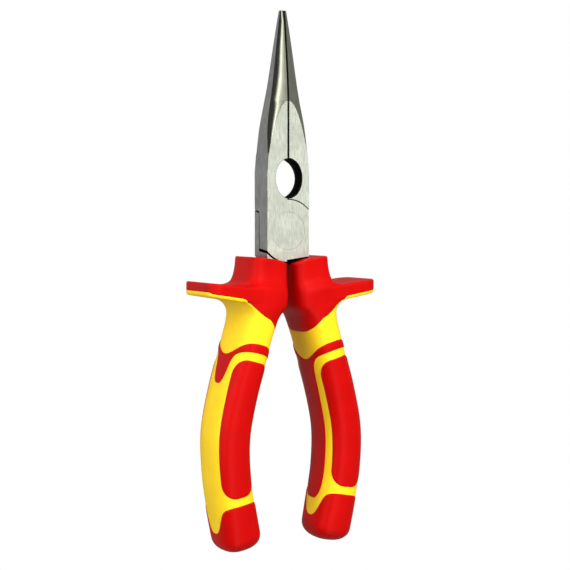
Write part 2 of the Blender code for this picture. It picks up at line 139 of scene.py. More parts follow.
def world(points):
    """Tool millimetres (x, y, rise) to metres in the frame."""
    p = np.asarray(points, float)
    return np.stack([p[..., 0] * MM, PIVOT[1] + p[..., 2] * MM, PIVOT[2] - p[..., 1] * MM], -1)


def mirrored(points, side):
    """The right handle's points, turned into the left handle's where side is -1."""
    p = np.array(points, float)
    p[..., 0] *= side
    return p


def solid(name, points, faces):
    """An object from tool points and faces, its doubles merged and its faces turned outwards."""
    mesh = bpy.data.meshes.new(name)
    mesh.from_pydata([tuple(p) for p in world(points)], [], [tuple(int(v) for v in f) for f in faces])
    bm = bmesh.new()
    bm.from_mesh(mesh)
    bmesh.ops.remove_doubles(bm, verts=bm.verts, dist=2e-6)
    bmesh.ops.dissolve_degenerate(bm, edges=bm.edges, dist=1e-7)
    bmesh.ops.recalc_face_normals(bm, faces=bm.faces)
    bm.to_mesh(mesh)
    bm.free()
    made = bpy.data.objects.new(name, mesh)
    bpy.context.scene.collection.objects.link(made)
    return made


def loft(name, rings):
    """A closed solid through rings of equally many points, with flat ends."""
    rings = np.asarray(rings, float)
    count, around = rings.shape[:2]
    faces = []
    for i in range(count - 1):
        for j in range(around):
            k = (j + 1) % around
            faces.append((i * around + j, i * around + k, (i + 1) * around + k, (i + 1) * around + j))
    faces.append(tuple(range(around)))
    faces.append(tuple((count - 1) * around + j for j in range(around)))
    return solid(name, rings.reshape(-1, 3), faces)


def dress(piece, body, looks, nodes, smooth_angle=40.0):
    """Gives a finished piece its materials, ties it to its body and hides the CAD nodes it stands for."""
    piece.data.materials.clear()
    for look in looks:
        piece.data.materials.append(look)
    piece.data.shade_smooth()
    piece.data.set_sharp_from_angle(angle=math.radians(smooth_angle))
    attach(piece, body)
    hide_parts(*nodes)


# ---- handle sections

STATIONS = np.arange(4.0, 130.0, 0.1)


def station_table():
    """The section values at every station, on curves smoothed over about a millimetre."""
    xs = HANDLE[:, 0]
    rows = [STATIONS]
    spread = np.exp(-0.5 * (np.arange(-30, 31) / 9.0) ** 2)
    spread /= spread.sum()
    for column in range(1, 6):
        ys = HANDLE[:, column]
        slope = np.gradient(ys, xs)
        i = np.clip(np.searchsorted(xs, STATIONS) - 1, 0, len(xs) - 2)
        h = xs[i + 1] - xs[i]
        r = np.clip((STATIONS - xs[i]) / h, 0, 1)
        value = ((2 * r**3 - 3 * r**2 + 1) * ys[i] + (r**3 - 2 * r**2 + r) * h * slope[i]
                 + (3 * r**2 - 2 * r**3) * ys[i + 1] + (r**3 - r**2) * h * slope[i + 1])
        padded = np.concatenate([np.full(30, value[0]), value, np.full(30, value[-1])])
        rows.append(np.convolve(padded, spread, "valid"))
    rows.append(np.arctan(np.gradient(rows[1], STATIONS)))
    return rows


TABLE = station_table()
CENTRE, INNER, OUTER, DEPTH, SQUARE, LEAN = range(1, 7)


def at(column, t):
    """One section value at the distance t below the pivot."""
    return np.interp(t, STATIONS, TABLE[column])


def handle_point(q, t, out=0.0):
    """Points on the right handle's surface, moved out of it by `out`.

    q goes round the section in quarter turns: 0 front, 1 outer side, 2 back, -1 inner side.
    t is the distance below the pivot, up to HANDLE_END, where the rounded end closes."""
    q, t, out = np.broadcast_arrays(np.asarray(q, float) % 4, np.asarray(t, float), np.asarray(out, float))
    shape = q.shape
    q, t, out = q.ravel(), t.ravel(), out.ravel()
    quarter = np.minimum(np.floor(q), 3)
    share = np.where(quarter % 2 == 0, q - quarter, 1 - (q - quarter))
    end = np.clip((t - (HANDLE_END - ROUND_END)) / ROUND_END, 0, 1)
    close = (1 - end**2.4) ** (1 / 2.4)
    side = np.where(quarter < 2, at(OUTER, t), at(INNER, t)) + out
    depth = at(DEPTH, t) + out
    power = 2 / at(SQUARE, t)
    # each quarter's outline in small steps, to share out q evenly along its length
    samples = 40
    angle = np.linspace(0, math.pi / 2, samples + 1)
    a = side[:, None] * np.sin(angle) ** power[:, None]
    b = depth[:, None] * np.cos(angle) ** power[:, None]
    run = np.cumsum(np.hypot(np.diff(a, axis=1), np.diff(b, axis=1)), axis=1)
    run = np.hstack([np.zeros((len(q), 1)), run])
    goal = share * run[:, -1]
    i = np.clip((run < goal[:, None]).sum(axis=1) - 1, 0, samples - 1)
    rows = np.arange(len(q))
    f = (goal - run[rows, i]) / (run[rows, i + 1] - run[rows, i])
    turn = angle[i] + (angle[i + 1] - angle[i]) * f
    a = side * np.sin(turn) ** power * close * np.where(quarter < 2, 1, -1)
    b = depth * np.cos(turn) ** power * close
    front = np.where((quarter == 0) | (quarter == 3), -1, 1)
    lean = at(LEAN, t)
    reach = t + out * end
    x = at(CENTRE, reach) + a * np.cos(lean)
    rise = -reach + a * np.sin(lean)
    return np.stack([x, b * front + BACKSET, rise], -1).reshape(*shape, 3)


# ---- inlaid red pieces

# The rounded rim of an inlaid piece: distance in from its outline, height over the yellow surface
RIM = [(0.0, -0.45), (0.03, -0.12), (0.1, 0.03), (0.22, 0.13), (0.4, 0.2), (0.65, 0.235), (1.0, PROUD)]
OUTLINE_STEP = 0.6


def split(line, longest, closed):
    """A line of points with its long stretches cut into equal shorter ones."""
    points = []
    for a, b in zip(line, list(line[1:]) + ([line[0]] if closed else [])):
        count = max(1, math.ceil(math.dist(a, b) / longest))
        points += [tuple(np.add(a, np.subtract(b, a) * k / count)) for k in range(count)]
    if not closed:
        points.append(tuple(line[-1]))
    return np.array(points)


def rounded(line, closed, turns=3):
    """A line with its corners cut again and again, which turns it into a smooth curve."""
    line = np.array(line, float)
    for _ in range(turns):
        after = np.roll(line, -1, axis=0) if closed else line[1:]
        before = line if closed else line[:-1]
        cut = np.stack([before * 0.75 + after * 0.25, before * 0.25 + after * 0.75], 1).reshape(-1, 2)
        line = cut if closed else np.vstack([line[:1], cut, line[-1:]])
    return line


def rims(line, closed):
    """Copies of an outline moved in by each distance in RIM; its inside lies on its left."""
    if closed:
        run = np.roll(line, -1, axis=0) - np.roll(line, 1, axis=0)
    else:
        run = np.gradient(line, axis=0)
        run[0, 1] = run[-1, 1] = 0.0    # its two ends meet level behind the handle
    run /= np.linalg.norm(run, axis=1)[:, None]
    normal = np.stack([-run[:, 1], run[:, 0]], 1)
    return [line + normal * inset for inset, _ in RIM]


def gap_to(points, line):
    """The distance of each point from a line through many points."""
    a, b = line[:-1], line[1:]
    run = b - a
    size = np.maximum((run**2).sum(1), 1e-12)
    best = np.full(len(points), 1e9)
    for k in range(len(a)):
        f = np.clip(((points - a[k]) @ run[k]) / size[k], 0, 1)
        best = np.minimum(best, np.linalg.norm(points - a[k] - f[:, None] * run[k], axis=1))
    return best


def inside(points, loop):
    """Whether each point lies inside a closed loop."""
    found = np.zeros(len(points), bool)
    for a, b in zip(loop, np.roll(loop, -1, axis=0)):
        if a[1] == b[1]:
            continue
        crosses = (a[1] > points[:, 1]) != (b[1] > points[:, 1])
        found ^= crosses & (points[:, 0] < (b[0] - a[0]) * (points[:, 1] - a[1]) / (b[1] - a[1]) + a[0])
    return found


def inlay_points(lines, loop, closed, rows):
    """The points of an inlaid piece's skin, their heights, and the edges along its rims."""
    points, heights, edges = [], [], []
    for line in lines:
        for moved, (_, height) in zip(rims(line, closed), RIM):
            first, count = len(points), len(moved)
            points += [tuple(p) for p in moved]
            heights += [height] * count
            edges += [(first + k, first + (k + 1) % count) for k in range(count - (not closed))]
    low, high = loop.min(0), loop.max(0)
    columns = np.arange(math.ceil(low[0]), high[0] + 0.01, 1.0)
    grid = np.array([(x, t) for t in rows for x in columns if low[1] < t < high[1]])
    whole = [np.vstack([line, line[:1]]) if closed else line for line in lines]
    far = np.min([gap_to(grid, line) for line in whole], axis=0)
    # drawn in by a hair, so that both ends of a ring's loop keep the same points
    grid = grid[inside(grid * (0.9999, 1.0), loop) & (far > RIM[-1][0] + 0.35)]
    points += [tuple(p) for p in grid]
    heights += [PROUD] * len(grid)
    return points, heights, edges


def inlay_walls(faces, q, t, ring):
    """Quads down from the skin's outer edges, but none where a ring meets itself or at its pole."""
    used = {}
    for face in faces:
        for k in range(3):
            a, b = face[k], face[(k + 1) % 3]
            used.setdefault((min(a, b), max(a, b)), []).append((a, b))
    count, walls = len(q), []
    for pairs in used.values():
        a, b = pairs[0]
        at_seam = ring and abs(abs(q[a]) - 2) < 1e-6 and abs(abs(q[b]) - 2) < 1e-6
        at_pole = t[a] == t[b] == HANDLE_END
        if len(pairs) == 1 and not at_seam and not at_pole:
            walls.append((b, a, a + count, b + count))
    return walls


def inlay(name, side, lines, loop, closed, rows, ring=False):
    """A red piece laid into the handle, with a rounded rim, a filled skin and a flat underside.

    lines are its rims' outlines in (q * QUARTER, t), loop the whole outline as a closed loop, and
    rows the t of the skin's inner points. A ring goes all the way round the handle."""
    points, heights, edges = inlay_points(lines, loop, closed, rows)
    for end in (loop[:, 0].min(), loop[:, 0].max()) if ring else ():
        column = sorted((p[1], k) for k, p in enumerate(points) if abs(p[0] - end) < 1e-9)
        edges += [(a[1], b[1]) for a, b in zip(column, column[1:])]
    found, _, faces = delaunay_2d_cdt([Vector(p) for p in points], edges, [], 0, 1e-6)[:3]
    flat = np.array([(p.x, p.y) for p in found])
    height = np.array(heights)[:len(flat)]
    middle = np.array([flat[list(f)].mean(0) for f in faces])
    faces = [f for f, keep in zip(faces, inside(middle, loop)) if keep]
    q, t = flat[:, 0] / QUARTER, np.where(flat[:, 1] > HANDLE_END - 1e-4, HANDLE_END, flat[:, 1])
    skin = np.vstack([handle_point(q, t, height), handle_point(q, t, -INLAY)])
    under = [tuple(v + len(flat) for v in reversed(f)) for f in faces]
    shell = [tuple(f) for f in faces] + under + inlay_walls(faces, q, t, ring)
    return solid(name, mirrored(skin, side), shell)


def band_top(q):
    """How far below the pivot the ring's top line runs."""
    return 41.0 + 5.6 * (0.5 - 0.5 * np.cos(math.pi * np.asarray(q))) ** 1.3


def band_lines():
    """The ring's top line, and its lower line with both tongues, from q -2 to 2."""
    top = [(q, float(band_top(q))) for q in np.linspace(-2, 2, 81)]
    shoulder = [(0.0, 44.3), (0.3, 44.8), (0.5, 45.8), (0.63, 47.4)]
    inner = [(0.715, 50.5), (0.735, 60), (0.715, 75), (0.70, 90), (0.70, 97.5), (0.76, 100.8),
             (0.87, 102.9), (1.0, 103.3)]
    outer = [(0.69, 50.0), (0.735, 53.3), (0.80, 56.1), (0.89, 57.4), (1.0, 57.6)]
    right, left = shoulder + outer, shoulder + inner
    right = right + [(2 - q, t) for q, t in reversed(right[:-1])]
    left = left + [(2.18 - q if q > 0.68 else 2 - q, t) for q, t in reversed(left[:-1])]
    low = [(-q, t) for q, t in reversed(left)] + right[1:]
    return np.array(top) * (QUARTER, 1), np.array(low) * (QUARTER, 1)


def cap_line():
    """The end cap's top line, with a notch at each side."""
    quarter = [(0.0, 99.5), (0.25, 99.5), (0.46, 100.1), (0.58, 101.8), (0.67, 104.8), (0.78, 108.0),
               (0.88, 109.2), (1.0, 109.4)]
    half = quarter + [(2 - q, t) for q, t in reversed(quarter[:-1])]
    return np.array([(-q, t) for q, t in reversed(half[1:])] + half) * (QUARTER, 1)


def pad_line(less):
    """A pad: a long rounded shield, a little wider at its top. less makes it narrower."""
    top, bottom, corner = 47.3, 96.8, 6.2
    wide, narrow = (0.535 - less) * QUARTER, (0.48 - less) * QUARTER
    turns = np.radians(np.arange(0, 91, 6))
    right = [(narrow - corner * (1 - math.sin(a)), bottom - corner + corner * math.cos(a)) for a in turns]
    right += [(wide - corner * (1 - math.cos(a)), top + corner - corner * math.sin(a)) for a in turns]
    return np.array([(-q, t) for q, t in right] + right[::-1])


def grip_pieces(side, word, body):
    """The red band, end cap and both pads of one handle."""
    made = {}
    top, low = band_lines()
    low = split(rounded(low, False), OUTLINE_STEP, False)
    top = split(top, OUTLINE_STEP, False)
    loop = np.vstack([low[::-1], top])
    made["band"] = inlay(word + "_grip_band", side, [low[::-1], top], loop, False,
                         np.arange(41.5, 103.5, 1.0), True)
    edge = split(rounded(cap_line(), False), OUTLINE_STEP, False)
    turns = np.radians(np.linspace(0, 90, 17))
    ends = HANDLE_END - ROUND_END * (1 - np.sin(turns))
    rows = np.concatenate([np.arange(100.0, HANDLE_END - ROUND_END, 1.0), ends])
    loop = np.vstack([edge, [(2 * QUARTER, HANDLE_END + 0.01), (-2 * QUARTER, HANDLE_END + 0.01)]])
    made["cap"] = inlay(word + "_end_cap", side, [edge], loop, False, rows, True)
    rows = np.arange(48.0, 97.0, 1.0)
    for name, turn, less in (("pad_front", 0, 0.0), ("pad_back", 2, 0.08)):
        line = split(rounded(pad_line(less), True, 1), OUTLINE_STEP, True) + (turn * QUARTER, 0)
        made[name] = inlay(f"{word}_grip_{name}", side, [line], line, True, rows)
    for name, one in made.items():
        dress(one, body, [RED], [f"{word}_{name}"])


# ---- moulded guard and neck

def handle_place(p):
    """Where points (x, y, t) lie in the section: shares of its half width and depth, and its t."""
    x, y, t = p
    s = t.copy()
    for _ in range(4):
        lean = at(LEAN, s)
        along = (x - at(CENTRE, s)) / np.cos(lean)
        s = t + along * np.sin(lean)
    side = np.where(along > 0, at(OUTER, s), at(INNER, s))
    return np.abs(along) / side, np.abs(y - BACKSET) / at(DEPTH, s), s


def handle_field(p):
    """How far points (x, y, t) lie outside the right handle's section, about, in millimetres."""
    a, b, s = handle_place(p)
    side, depth, power = at(OUTER, s), at(DEPTH, s), at(SQUARE, s)
    r = np.maximum((a**power + b**power) ** (1 / power), 0.05)
    slope = r ** (1 - power) * np.hypot(a ** (power - 1) / side, b ** (power - 1) / depth)
    return (r - 1) / np.maximum(slope, 0.02)


def meet(a, b, radius):
    """Where two fields are both inside, with their shared edge rounded."""
    over = np.hypot(np.maximum(a + radius, 0), np.maximum(b + radius, 0))
    return np.minimum(np.maximum(a, b), -radius) + over


def flange_field(p):
    """The finger guard's plate: a wedge with a rounded rim and round corners in plan."""
    x, y, t = p
    corner, rim = 4.8, 0.75
    a = x - (GUARD_REACH - corner)
    b = np.abs(y - BACKSET) - (GUARD_HALF_DEPTH - corner)
    plan = np.hypot(np.maximum(a, 0), np.maximum(b, 0)) + np.minimum(np.maximum(a, b), 0) - corner
    top = 20.2 - 0.11 * (x - 18.0)
    under = 25.65 - 0.165 * (x - 21.2)
    plate = meet(plan, np.maximum(top - t, t - under), rim)
    return meet(plate, 10.0 - x, 2.0)


def slopes(field, p):
    """The unit gradient of a field."""
    p, step = np.asarray(p), 0.02
    run = []
    for k in range(3):
        ahead, behind = p.copy(), p.copy()
        ahead[k] += step
        behind[k] -= step
        run.append(field(ahead) - field(behind))
    run = np.array(run)
    return run / np.maximum(np.linalg.norm(run, axis=0), 1e-9)


def guard_field(p):
    """Guard and neck as one moulding: the handle's section joined to the flange by fillets."""
    handle, flange = handle_field(p), flange_field(p)
    # the fillet is wider under the flange, and fades out where both surfaces look the same way
    alike = (slopes(handle_field, p) * slopes(flange_field, p)).sum(0)
    radius = (4.4 + 0.9 * np.clip((p[2] - 21) / 4, 0, 1)) * (1 - np.clip(alike, 0, 1)) ** 1.5 + 0.02
    both = (np.maximum(np.minimum(handle, flange), radius)
            - np.hypot(np.maximum(radius - handle, 0), np.maximum(radius - flange, 0)))
    both = meet(both, GAP - p[0], 4.2)
    # the collar's top slopes down outwards, and clears the joint's round plates
    rim = 9.45 + 0.12 * np.clip(15.0 - p[0], 0, 20)
    both = meet(both, rim - p[2], 0.6)
    return meet(both, JOINT_RADIUS + 0.5 - np.hypot(p[0], p[2]), 0.4)


def net_mesh(field, low, high, step):
    """Points and quads of a field's zero surface in a box, each point moved onto the surface."""
    axes = [np.arange(a, b + step, step) for a, b in zip(low, high)]
    size = [len(a) for a in axes]
    grid = np.stack(np.meshgrid(*axes, indexing="ij")).reshape(3, -1)
    value = field(grid).reshape(size)
    within = value < 0
    cells = np.zeros([n - 1 for n in size], int)
    total = np.zeros([n - 1 for n in size] + [3])
    for axis in range(3):
        one = np.moveaxis(within, axis, 0)
        crossing = one[:-1] != one[1:]
        number = np.moveaxis(value, axis, 0)
        share = np.where(crossing, number[:-1] / np.where(crossing, number[:-1] - number[1:], 1), 0)
        crossing, share = np.moveaxis(crossing, 0, axis), np.moveaxis(share, 0, axis)
        others = [k for k in range(3) if k != axis]
        for i in (0, 1):
            for j in (0, 1):
                cut = [slice(None)] * 3
                cut[others[0]] = slice(i, size[others[0]] - 1 + i)
                cut[others[1]] = slice(j, size[others[1]] - 1 + j)
                hit = crossing[tuple(cut)]
                cells += hit
                total[..., axis] += share[tuple(cut)] * hit
                total[..., others[0]] += i * hit
                total[..., others[1]] += j * hit
    used = cells > 0
    number = np.full(cells.shape, -1)
    number[used] = np.arange(used.sum())
    corner = np.argwhere(used)
    points = (corner + total[used] / cells[used][:, None]) * step + np.array(low)
    quads = []
    for axis in range(3):
        u, v = (axis + 1) % 3, (axis + 2) % 3
        cut = [slice(1, n - 1) for n in size]
        cut[axis] = slice(0, size[axis] - 1)
        ahead = list(cut)
        ahead[axis] = slice(1, size[axis])
        here, there = within[tuple(cut)], within[tuple(ahead)]
        place = np.argwhere(here != there)
        first = here[here != there]
        place += [c.start for c in cut]
        ring = []
        for du, dv in ((-1, -1), (0, -1), (0, 0), (-1, 0)):
            q = place.copy()
            q[:, u] += du
            q[:, v] += dv
            ring.append(number[tuple(q.T)])
        ring = np.stack(ring, 1)
        ring[~first] = ring[~first][:, ::-1]
        quads.append(ring)
    p = points.T.copy()
    for _ in range(4):
        gap = field(p)
        p -= np.clip(gap, -step, step) * slopes(field, p)
    return p.T, np.vstack(quads)


def smooth_line(points, step):
    """A curve through the given points, at about equal steps (Catmull-Rom)."""
    p = np.array(points, float)
    p = np.vstack([2 * p[0] - p[1], p, 2 * p[-1] - p[-2]])
    line = []
    for k in range(1, len(p) - 2):
        for r in np.arange(0, 1, step / max(np.linalg.norm(p[k + 1] - p[k]), step)):
            line.append(0.5 * (2 * p[k] + (p[k + 1] - p[k - 1]) * r
                               + (2 * p[k - 1] - 5 * p[k] + 4 * p[k + 1] - p[k + 2]) * r**2
                               + (3 * p[k] - p[k - 1] - 3 * p[k + 1] + p[k + 2]) * r**3))
    return np.array(line + [p[-2]])


EDGE_LINE = smooth_line(GUARD_EDGE, 0.35)


def above_edge(p):
    """Signed distance of points (x, y, t) from the line between guard and neck, positive above it."""
    # under the flange the line climbs a little, except near the front and back
    depth = np.abs(p[1] - BACKSET)
    raised = np.clip((11.4 - depth) / 2.4, 0, 1)
    raised *= np.clip((p[0] - 14.0) / 4.0, 0, 1)
    flat = np.stack([p[0] + 3.0 * raised**2 * (3 - 2 * raised), p[2]], 1)
    near = gap_to(flat, EDGE_LINE)
    loop = np.vstack([EDGE_LINE, [(EDGE_LINE[-1][0], -20.0)], [(EDGE_LINE[0][0], -20.0)]])
    return np.where(inside(flat, loop), near, -near)


def cut_mesh(points, faces, value):
    """The part of a mesh where value is positive, cut along the line where it is zero."""
    points = [tuple(p) for p in points]
    made, kept = {}, []

    def crossing(a, b):
        key = (min(a, b), max(a, b))
        if key not in made:
            r = value[a] / (value[a] - value[b])
            made[key] = len(points)
            points.append(tuple(np.array(points[a]) * (1 - r) + np.array(points[b]) * r))
        return made[key]

    for face in faces:
        signs = [value[v] > 0 for v in face]
        if all(signs):
            kept.append(tuple(face))
            continue
        if not any(signs):
            continue
        ring = []
        for k, a in enumerate(face):
            b = face[(k + 1) % len(face)]
            if value[a] > 0:
                ring.append(a)
            if (value[a] > 0) != (value[b] > 0):
                ring.append(crossing(a, b))
        if len(ring) > 2:
            kept.append(tuple(ring))
    used = sorted({v for face in kept for v in face})
    place = {v: k for k, v in enumerate(used)}
    return np.array([points[v] for v in used]), [tuple(place[v] for v in face) for face in kept]


def boundary_loops(faces):
    """The open edges of a mesh as closed loops of point numbers."""
    single = {}
    for face in faces:
        for k, a in enumerate(face):
            b = face[(k + 1) % len(face)]
            if (b, a) in single:
                del single[(b, a)]
            else:
                single[(a, b)] = True
    follow = dict(single.keys())
    loops = []
    while follow:
        start, at_point = next(iter(follow.items()))
        loop = [start]
        del follow[start]
        while at_point != start and at_point in follow:
            loop.append(at_point)
            at_point = follow.pop(at_point)
        loops.append(loop)
    return loops


def closed_part(name, side, points, faces, apex):
    """A cut skin with each open edge rounded over, turned inwards and closed behind.

    The edge that runs round the guard closes towards apex, a point inside the root of the guard."""
    turn_in, deep = 0.25, 0.9
    points, faces = [np.array(p) for p in points], list(faces)
    for loop in boundary_loops(faces):
        ring = np.array([points[v] for v in loop])
        along = np.roll(ring, -1, axis=0) - np.roll(ring, 1, axis=0)
        along /= np.maximum(np.linalg.norm(along, axis=1), 1e-9)[:, None]
        normal = slopes(guard_field, ring.T).T
        away = np.cross(along, normal)
        away /= np.maximum(np.linalg.norm(away, axis=1), 1e-9)[:, None]
        before = loop
        stages = [(turn_in * math.sin(a), turn_in * (1 - math.cos(a))) for a in np.radians((30, 60, 90))]
        stages += [(turn_in, deep)]
        for out, down in stages:
            first = len(points)
            points += list(ring + away * out - normal * down)
            after = list(range(first, first + len(loop)))
            for k in range(len(loop)):
                n = (k + 1) % len(loop)
                faces.append((before[n], before[k], after[k], after[n]))
            before = after
        middle = len(points)
        points.append(apex if ring[:, 0].max() > 30 else np.mean([points[v] for v in before], axis=0))
        for k in range(len(before)):
            faces.append((before[(k + 1) % len(before)], before[k], middle))
    p = np.array(points)
    p = np.stack([p[:, 0], p[:, 1], -p[:, 2]], 1)
    return solid(name, mirrored(p, side), faces)


def guard_and_neck(side, word, body, mesh):
    """The red guard and the yellow neck under it, cut from one moulded surface."""
    points, quads = mesh
    value = above_edge(points.T)
    skin, faces = cut_mesh(points, quads, value - SHOT_GAP)
    guard = closed_part(word + "_finger_guard", side, skin, faces, (16.0, BACKSET, 20.5))
    skin, faces = cut_mesh(points, quads, -value - SHOT_GAP)
    a, b, s = handle_place(skin.T)
    turn = np.arctan2(a, b) / (math.pi / 2)
    skin, faces = cut_mesh(skin, faces, band_top(turn) + 1.7 - s)
    neck = closed_part(word + "_neck", side, skin, faces, (16.0, BACKSET, 21.8))
    dress(guard, body, [RED], [word + "_guard"])
    dress(neck, body, [YELLOW], [word + "_core"])


def sleeve(side, word, body):
    """The yellow sleeve from under the band to under the end cap."""
    around = np.linspace(0, 4, 145)[:-1]
    rows = np.linspace(0, 1, 86)
    start = band_top(around) + 1.0
    rings = handle_point(around[None, :], start[None, :] + rows[:, None] * (SLEEVE_END - start[None, :]))
    made = loft(word + "_sleeve", mirrored(rings, side))
    dress(made, body, [YELLOW], [word + "_core"])


# ---- steel head

def jaw_section(drop, inner, crown=0.0):
    """Half a section of one jaw as (x, y), from its gripping face over its front to its side.

    inner is how far the gripping face stands from the seam's middle."""
    full = HEAD_HALF_WIDTH - TIP_HALF_WIDTH
    r = min(drop / JAW_LENGTH, 1.0)
    width = TIP_HALF_WIDTH + full * (r + 0.16 * r * (1 - r) * (1.6 - r))
    width += SWELL * math.exp(-((drop - 43.0) / 10.5) ** 2)
    depth = min(HEAD_HALF_DEPTH, TIP_HALF_DEPTH + (HEAD_HALF_DEPTH - TIP_HALF_DEPTH) * drop / NOSE_LENGTH)
    # half the depth of the side face, which grows over its share of the way to the head
    side = 0.47 * depth
    share = min(max((drop - NOSE_LENGTH) / (0.93 * JAW_LENGTH - NOSE_LENGTH), 0.0), 1.0)
    side += (HEAD_HALF_DEPTH - 0.06 - side) * share**1.4
    depth += crown
    # the seam's groove: its half width, its bevel, and the height where the gripping face ends
    seam = 0.22 + 0.10 * max(0.0, 1 - drop / 9.0) ** 2
    bevel = min(0.2, 0.2 * depth)
    start = seam + bevel
    grip = 0.45 * depth
    # the ground front face, which opens below the nose as a parabola
    ground = max(1.85 * math.sqrt(max(drop - NOSE_LENGTH, 0.0)), start)
    ground = min(ground, width - 0.06 - 0.29 * (1 - share))
    # the rounded cone from there to the side, flatter at its inner end
    slope_in = math.tan(math.radians(9 + 5 * min(share * 2.5, 1) + 31 * share**3))
    slope_out = math.tan(math.radians(24 + 12 * share))
    # where the tangents of its two ends meet
    corner_x = min(max(width - slope_out * (depth - side - slope_in * (width - ground)), ground), width)
    corner_y = depth - slope_in * (corner_x - ground)
    points = [(inner, 0.0), (inner, grip), (seam + 0.02, min(grip + 0.3, depth - 1.2 * bevel)),
              (seam + 0.02, depth - bevel), (start, depth)]
    points += [(start + (ground - start) * k / 4, depth) for k in range(1, 5)]
    for k in range(1, 15):
        u = k / 14
        points.append(((1 - u)**2 * ground + 2 * u * (1 - u) * corner_x + u**2 * width,
                       (1 - u)**2 * depth + 2 * u * (1 - u) * corner_y + u**2 * side))
    return points


def prism(name, outline, front, back):
    """An (x, rise) outline drawn out from y front to back."""
    return loft(name, [[(x, y, rise) for x, rise in outline] for y in (front, back)])


def jaw(name, side):
    """One jaw with its toothed gripping face, from its tip down to the pivot line."""
    toothed = round((TIP_RISE - HOLE_RISE - 9.0) / TOOTH_PITCH) * TOOTH_PITCH
    drops = np.concatenate([[0.0, 0.12, 0.35, 0.7], np.arange(TOOTH_PITCH, toothed, TOOTH_PITCH / 4),
                            np.arange(toothed + 0.3, JAW_LENGTH, 0.8), [JAW_LENGTH, TIP_RISE]])
    rings = []
    for drop in drops:
        crown = CROWN * min(drop / 4.0, 1.0) * (1 - min(max((drop - 20.0) / 13.0, 0.0), 1.0) ** 2)
        shrink = 1 - 0.1 * max(0.0, 1 - drop / 0.35) ** 2
        forward = NOSE_FORWARD * (1 - min(drop / NOSE_LENGTH, 1.0) ** 2)
        tooth = abs((drop / TOOTH_PITCH) % 1.0 - 0.5) - 0.25 if TOOTH_PITCH < drop < toothed else 0.0
        inner = FACE_GAP / 2 + 2 * TOOTH_DEPTH * side * tooth
        ring = [(x, -y * shrink - forward) for x, y in jaw_section(drop, inner, crown)]
        ring += [(x, y * shrink - forward) for x, y in reversed(jaw_section(drop, inner)[1:])]
        ring = [(ring[0][0] + (x - ring[0][0]) * shrink, y) for x, y in ring]
        rings.append([(side * x, y, TIP_RISE - drop) for x, y in ring])
    return loft(name, rings)


def arc_points(radius, start, end, steps):
    """Points on an arc about the pivot, its ends in degrees."""
    turn = np.radians(np.linspace(start, end, steps + 1))
    return [(radius * math.cos(a), radius * math.sin(a)) for a in turn]


def apply_modifiers(made):
    """Turns an object's modifiers into mesh."""
    graph = bpy.context.evaluated_depsgraph_get()
    shaped = bpy.data.meshes.new_from_object(made.evaluated_get(graph))
    made.modifiers.clear()
    made.data = shaped


def boolean(target, tool, operation):
    """Joins the tool to the target or takes it away, and removes the tool."""
    cut = target.modifiers.new(operation.lower(), "BOOLEAN")
    cut.operation = operation
    cut.object = tool
    cut.solver = "EXACT"
    apply_modifiers(target)
    bpy.data.objects.remove(tool, do_unlink=True)


def hole_cutter():
    """The oval between the jaws: its front rim broken, and flared sideways towards the back."""
    past = HEAD_HALF_DEPTH + 1.0
    rings = []
    for y, width, height in ((-past, 5.9, 7.7), (-HEAD_HALF_DEPTH, 5.68, 7.5), (-4.8, 5.5, 7.34),
                             (-1.0, HOLE_HALF_WIDTH, HOLE_HALF_HEIGHT), (4.8, 7.85, 7.6),
                             (HEAD_HALF_DEPTH, 8.0, 7.7), (past, 8.1, 8.0)):
        rings.append([(HOLE_OFFSET + width * math.cos(a), y, HOLE_RISE + height * math.sin(a))
                      for a in CIRCLE])
    return loft("hole", rings)


def rivet_profile(grow, face):
    """The rivet's outline from front to back as (y, radius), with a cone under each head."""
    head, cone = HEAD_HALF_DEPTH - 0.4, HEAD_HALF_DEPTH - 1.2
    return [(-face, RIVET_RADIUS + grow), (-head, RIVET_RADIUS + grow), (-cone, RIVET_NECK + grow),
            (cone, RIVET_NECK + grow), (head, RIVET_RADIUS + grow), (face, RIVET_RADIUS + grow)]


def turned(name, profile):
    """A solid turned about the pivot, from its (y, radius) outline."""
    return loft(name, [[(r * math.cos(a), y, r * math.sin(a)) for a in CIRCLE] for y, r in profile])


